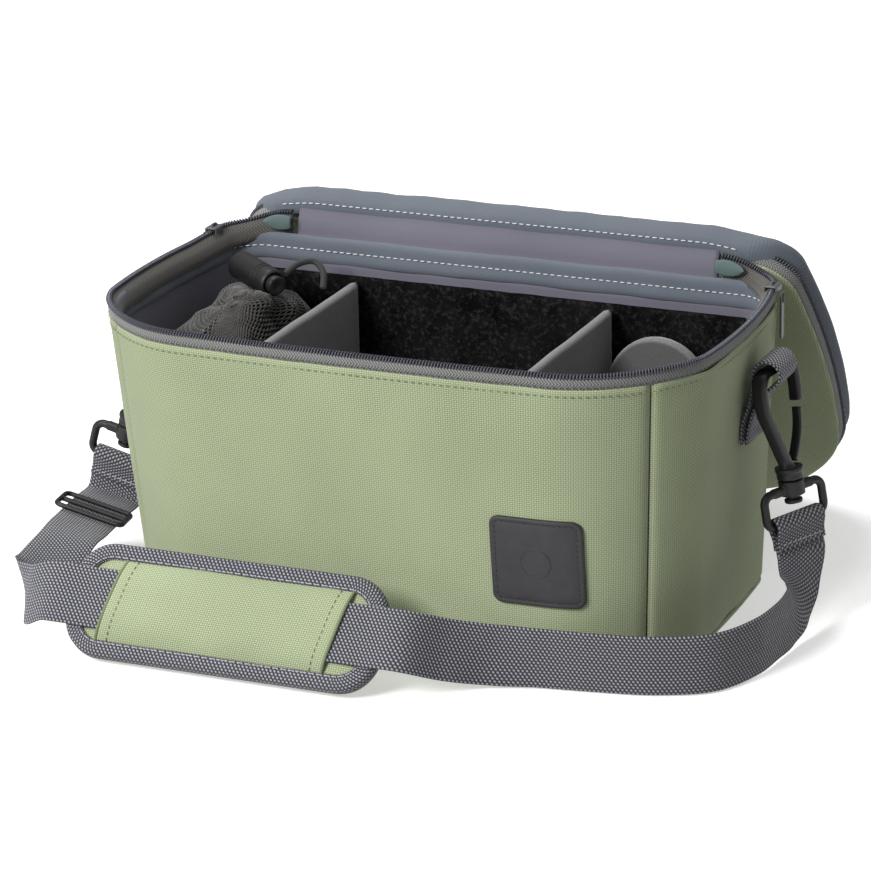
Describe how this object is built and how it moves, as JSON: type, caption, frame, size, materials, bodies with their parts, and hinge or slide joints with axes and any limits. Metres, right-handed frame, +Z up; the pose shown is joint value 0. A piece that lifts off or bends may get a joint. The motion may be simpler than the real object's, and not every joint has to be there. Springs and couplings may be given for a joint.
{
  "type": "travel organizer bag",
  "caption": "Zip-top soft-sided organizer bag with removable padded dividers, drawstring net pouch and a padded shoulder strap on snap hooks; lid shown folded back.",
  "frame": {"origin": "centre of the base outline, on the surface the bag stands on", "axes": "+X to the bag's right end as seen from the front, +Y to the rear where the lid is hinged, +Z up"},
  "size_m": [0.4034, 0.3457, 0.1679],
  "materials": {
    "sage_canvas": "woven canvas",
    "blue_grey_facing": "woven polyester",
    "mauve_lining": "smooth woven lining",
    "loop_felt": "brushed loop pile",
    "grey_felt": "felt",
    "zip_tape": "herringbone tape",
    "zip_coil": "moulded coil",
    "webbing": "coarse webbing",
    "black_plastic": "moulded",
    "dark_metal": "black nickel",
    "grey_leather": "smooth, stitched",
    "black_net": "knitted net",
    "black_cord": "braided cord",
    "board": "stiffener sheet",
    "foam": "closed foam",
    "teal_tab": "folded tape"
  },
  "bodies": {
    "bag": {"base_board": "board", "base_panel": "sage_canvas", "body_zip_tape": "zip_tape", "body_zip_teeth": "zip_coil", "floor_lining": "mauve_lining", "front_loop_panel": "loop_felt", "front_panel": "sage_canvas", "hinge_strip": "mauve_lining", "leather_patch": "grey_leather", "left_end_panel": "sage_canvas", "left_hook_body": "black_plastic", "left_strap_tab": "webbing", "left_zip_end_tab": "teal_tab", "main_strap": "webbing", "rear_loop_panel": "loop_felt", "rear_panel": "sage_canvas", "right_end_panel": "sage_canvas", "right_hook_body": "black_plastic", "right_strap_tab": "webbing", "right_zip_end_tab": "teal_tab", "rim_facing": "blue_grey_facing", "wall_lining": "mauve_lining"},
    "lid": {"lid_facing": "blue_grey_facing", "lid_lining": "mauve_lining", "lid_padding": "foam", "lid_panel": "sage_canvas", "lid_zip_tape": "zip_tape", "lid_zip_teeth": "zip_coil"},
    "left_slider": {"left_zip_slider": "dark_metal"},
    "right_slider": {"right_zip_slider": "dark_metal"},
    "left_pull": {"left_zip_pull": "dark_metal"},
    "right_pull": {"right_zip_pull": "dark_metal"},
    "left_gate": {"left_hook_gate": "black_plastic"},
    "right_gate": {"right_hook_gate": "black_plastic"},
    "left_frame": {"left_webbing_frame": "black_plastic", "left_strap_end_loop": "webbing"},
    "right_frame": {"right_webbing_frame": "black_plastic", "right_strap_end_loop": "webbing"},
    "adjuster": {"slide_adjuster": "black_plastic"},
    "shoulder_pad": {"pad_core": "sage_canvas", "pad_binding": "webbing", "pad_sleeve": "sage_canvas"},
    "left_divider_panel": {"left_divider": "grey_felt", "left_divider_front_hook_tape": "black_net", "left_divider_rear_hook_tape": "black_net"},
    "right_divider_panel": {"right_divider": "grey_felt", "right_divider_front_hook_tape": "black_net", "right_divider_rear_hook_tape": "black_net"},
    "half_divider_panel": {"half_divider": "grey_felt"},
    "drawstring_pouch": {"net_pouch": "black_net", "cord_lock_barrel": "black_plastic", "drawcord": "black_cord"},
    "cord_lock_button": {"cord_lock_plunger": "black_plastic"}
  },
  "joints": [
    {"name": "lid_hinge", "type": "hinge", "parent": "bag", "child": "lid", "pos_m": [0, 0.084, 0.1675], "axis": [1, 0, 0], "range_deg": [0, 238]},
    {"name": "left_slider_travel", "type": "slide", "parent": "bag", "child": "left_slider", "axis": [0.1201, 0.9928, 0], "range_m": [-0.028, 0]},
    {"name": "right_slider_travel", "type": "slide", "parent": "bag", "child": "right_slider", "axis": [-0.1201, 0.9928, 0], "range_m": [-0.028, 0]},
    {"name": "left_pull_hinge", "type": "hinge", "parent": "left_slider", "child": "left_pull", "pos_m": [-0.15826, 0.057, 0.159], "axis": [0, 1, 0], "range_deg": [0, 80]},
    {"name": "right_pull_hinge", "type": "hinge", "parent": "right_slider", "child": "right_pull", "pos_m": [0.15826, 0.057, 0.159], "axis": [0, -1, 0], "range_deg": [0, 80]},
    {"name": "left_gate_flex", "type": "hinge", "parent": "bag", "child": "left_gate", "pos_m": [-0.1822, 0.01614, 0.07206], "axis": [0.9467, 0.1736, -0.2714], "range_deg": [0, 18], "stiffness_Nm_per_rad": 0.05},
    {"name": "right_gate_flex", "type": "hinge", "parent": "bag", "child": "right_gate", "pos_m": [0.17805, 0.01611, 0.08723], "axis": [0.9661, -0.2079, 0.153], "range_deg": [0, 18], "stiffness_Nm_per_rad": 0.05},
    {"name": "left_frame_swivel", "type": "hinge", "parent": "bag", "child": "left_frame", "pos_m": [-0.18591, 0.012, 0.05648], "axis": [0.2756, 0, 0.9613], "range_deg": [-12, 12]},
    {"name": "right_frame_swivel", "type": "hinge", "parent": "bag", "child": "right_frame", "pos_m": [0.17969, 0.012, 0.07129], "axis": [-0.1564, 0, 0.9877], "range_deg": [-12, 12]},
    {"name": "adjuster_travel", "type": "slide", "parent": "bag", "child": "adjuster", "axis": [0.1682, -0.9845, 0.0495], "range_m": [-0.006, 0.006]},
    {"name": "pad_travel", "type": "slide", "parent": "bag", "child": "shoulder_pad", "axis": [1, 0, 0], "range_m": [-0.01, 0.01]},
    {"name": "left_divider_lift", "type": "slide", "parent": "bag", "child": "left_divider_panel", "axis": [0, 0, -1], "range_m": [-0.16, 0]},
    {"name": "right_divider_lift", "type": "slide", "parent": "bag", "child": "right_divider_panel", "axis": [0, 0, -1], "range_m": [-0.16, 0]},
    {"name": "half_divider_lift", "type": "slide", "parent": "bag", "child": "half_divider_panel", "axis": [0, 0, -1], "range_m": [-0.16, 0]},
    {"name": "pouch_lift", "type": "slide", "parent": "bag", "child": "drawstring_pouch", "axis": [0, 0, -1], "range_m": [-0.16, 0]},
    {"name": "cord_lock_press", "type": "slide", "parent": "drawstring_pouch", "child": "cord_lock_button", "axis": [0.8219, -0.5668, -0.0567], "range_m": [-0.003, 0], "stiffness_N_per_m": 150}
  ]
}
